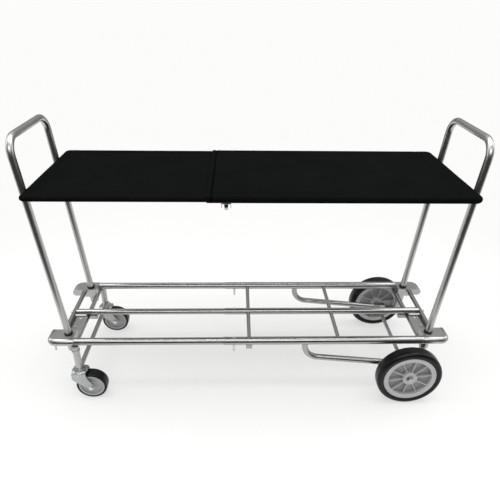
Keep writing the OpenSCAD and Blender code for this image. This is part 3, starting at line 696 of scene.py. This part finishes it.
for side in ("right", "left"):
    pressed("fork_" + side, 0.0008, 6)
    bevelled(nodes["hub_" + side], 0.0008, 40, 2)
    bevelled(nodes["caster_hub_" + side], 0.0006, 40, 2)
    for end in ("rear", "front"):
        bevelled(nodes["bracket_%s_%s" % (end, side)], 0.0012, 40, 2)
for name in ("axle_blocks", "plate_rear", "plate_front", "deck_hooks_rear", "deck_hooks_front"):
    bevelled(nodes[name], 0.0008, 40, 2)
for name in ("axle_nuts", "screws_rear", "screws_front", "caster_axle_right", "caster_axle_left",
             "lock_right", "lock_left", "rail_rivets"):
    bevelled(nodes[name], 0.0004, 40, 2)


# ---------------------------------------------------------------- stage, light, camera
def stage():
    m, nt, p = new_mat("studio_floor")
    vec = coords(nt, (1, 1, 1))
    nt.links.new(ramp(nt, noise(nt, 3.0, vec, 3.0), [(0.3, (0.83, 0.83, 0.82)), (0.7, (0.86, 0.86, 0.85))]),
                 p.inputs["Base Color"])
    nt.links.new(span(nt, noise(nt, 40.0, vec, 3.0), 0.55, 0.7), p.inputs["Roughness"])
    p.inputs["Specular IOR Level"].default_value = 0.1
    # the sheet of paper curves up out of sight: far from the cart it is plain white
    length = add(nt, "ShaderNodeVectorMath", operation="LENGTH")
    nt.links.new(vec, length.inputs[0])
    far = add(nt, "ShaderNodeMapRange", interpolation_type="SMOOTHSTEP")
    far.inputs["From Min"].default_value = 0.75
    far.inputs["From Max"].default_value = 1.9
    far.inputs["To Min"].default_value = 0.57
    nt.links.new(length.outputs["Value"], far.inputs["Value"])
    em = add(nt, "ShaderNodeEmission")
    em.inputs["Color"].default_value = (0.972, 0.972, 0.96, 1)
    mix = add(nt, "ShaderNodeMixShader")
    nt.links.new(far.outputs["Result"], mix.inputs["Fac"])
    nt.links.new(p.outputs[0], mix.inputs[1])
    nt.links.new(em.outputs[0], mix.inputs[2])
    nt.links.new(mix.outputs[0], nt.nodes["Material Output"].inputs["Surface"])
    n, r = 96, 16.0
    turn = [2 * math.pi * k / n for k in range(n)]
    verts = [Vector((r * math.cos(a), r * math.sin(a), -0.0002)) for a in turn]
    f = mesh_object("studio_floor", verts, [tuple(range(n))], m, False)


stage()


def world():
    """White studio surround for the eye, a graded one for what metal and cloth reflect."""
    w = bpy.data.worlds.new("studio")
    bpy.context.scene.world = w
    w.use_nodes = True
    nt = w.node_tree
    bg = nt.nodes["Background"]
    out = nt.nodes["World Output"]
    tc = add(nt, "ShaderNodeTexCoord")
    sep = add(nt, "ShaderNodeSeparateXYZ")
    nt.links.new(tc.outputs["Generated"], sep.inputs[0])
    sky = ramp(nt, sep.outputs["Z"], [(0.0, 0.30), (0.12, 0.25), (0.40, 0.42), (0.75, 0.70), (1.0, 0.80)])
    nt.links.new(sky, bg.inputs["Color"])
    bg.inputs["Strength"].default_value = 1.0
    white = add(nt, "ShaderNodeBackground")
    white.inputs["Color"].default_value = (0.975, 0.975, 0.962, 1)
    lp = add(nt, "ShaderNodeLightPath")
    mix = add(nt, "ShaderNodeMixShader")
    nt.links.new(lp.outputs["Is Camera Ray"], mix.inputs["Fac"])
    nt.links.new(bg.outputs[0], mix.inputs[1])
    nt.links.new(white.outputs[0], mix.inputs[2])
    nt.links.new(mix.outputs[0], out.inputs["Surface"])


world()
bpy.context.scene.view_settings.view_transform = "Standard"


def card(name, corners):
    """Dark studio flag, seen only in reflections."""
    m, nt, p = new_mat(name)
    p.inputs["Roughness"].default_value = 1.0
    nt.links.new(ramp(nt, noise(nt, 2.0, coords(nt, (1, 1, 1))), [(0.0, 0.015), (1.0, 0.03)]),
                 p.inputs["Base Color"])
    o = mesh_object(name, [Vector(c) for c in corners], [(0, 1, 2, 3)], m, False)
    o.visible_camera = False
    o.visible_diffuse = False
    o.visible_shadow = False


card("flag_floor", [(-4, -4, 0.002), (4, -4, 0.002), (4, -0.66, 0.002), (-4, -0.66, 0.002)])
card("flag_front", [(-2.6, -1.75, 0.0), (2.6, -1.75, 0.0), (2.6, -1.75, 1.25), (-2.6, -1.75, 1.25)])
card("flag_back", [(-4, 2.6, 0.0), (4, 2.6, 0.0), (4, 2.6, 0.55), (-4, 2.6, 0.55)])


def area(name, loc, target, size, power, size_y=None, col=(1, 1, 1)):
    ld = bpy.data.lights.new(name, "AREA")
    ld.energy = power
    ld.shape = "RECTANGLE"
    ld.size = size
    ld.size_y = size_y or size
    ld.color = col
    lo = bpy.data.objects.new(name, ld)
    bpy.context.scene.collection.objects.link(lo)
    lo.location = loc
    lo.rotation_euler = (Vector(target) - Vector(loc)).to_track_quat("-Z", "Y").to_euler()
    return lo


area("top_box", (0.0, -0.1, 3.1), (0, 0, 0.0), 4.4, 80, 1.5)
area("left_box", (-3.0, 0.4, 1.7), (0, 0, 0.2), 1.4, 16, 1.8)
area("right_box", (3.0, 0.4, 1.7), (0, 0, 0.2), 1.4, 16, 1.8)
area("front_box", (0.0, -2.6, 2.6), (0, 0, 0.2), 3.0, 26, 0.9)

pitch, yaw, roll = 0.509, 0.033, 0.016
F = Vector((math.sin(yaw) * math.cos(pitch), math.cos(yaw) * math.cos(pitch), -math.sin(pitch)))
R = Vector((math.cos(yaw), -math.sin(yaw), 0))
U = R.cross(F)
R2 = R * math.cos(roll) + U * math.sin(roll)
U2 = U * math.cos(roll) - R * math.sin(roll)
cd = bpy.data.cameras.new("camera")
cd.sensor_width = 36.0
cd.lens = 468.916 / 500 * 36.0
cd.clip_start, cd.clip_end = 0.05, 100
co = bpy.data.objects.new("camera", cd)
bpy.context.scene.collection.objects.link(co)
mw = Matrix((R2, U2, -F)).transposed().to_4x4()
mw.translation = Vector((-0.0438, -1.2978, 1.1694))
co.matrix_world = mw
bpy.context.scene.camera = co
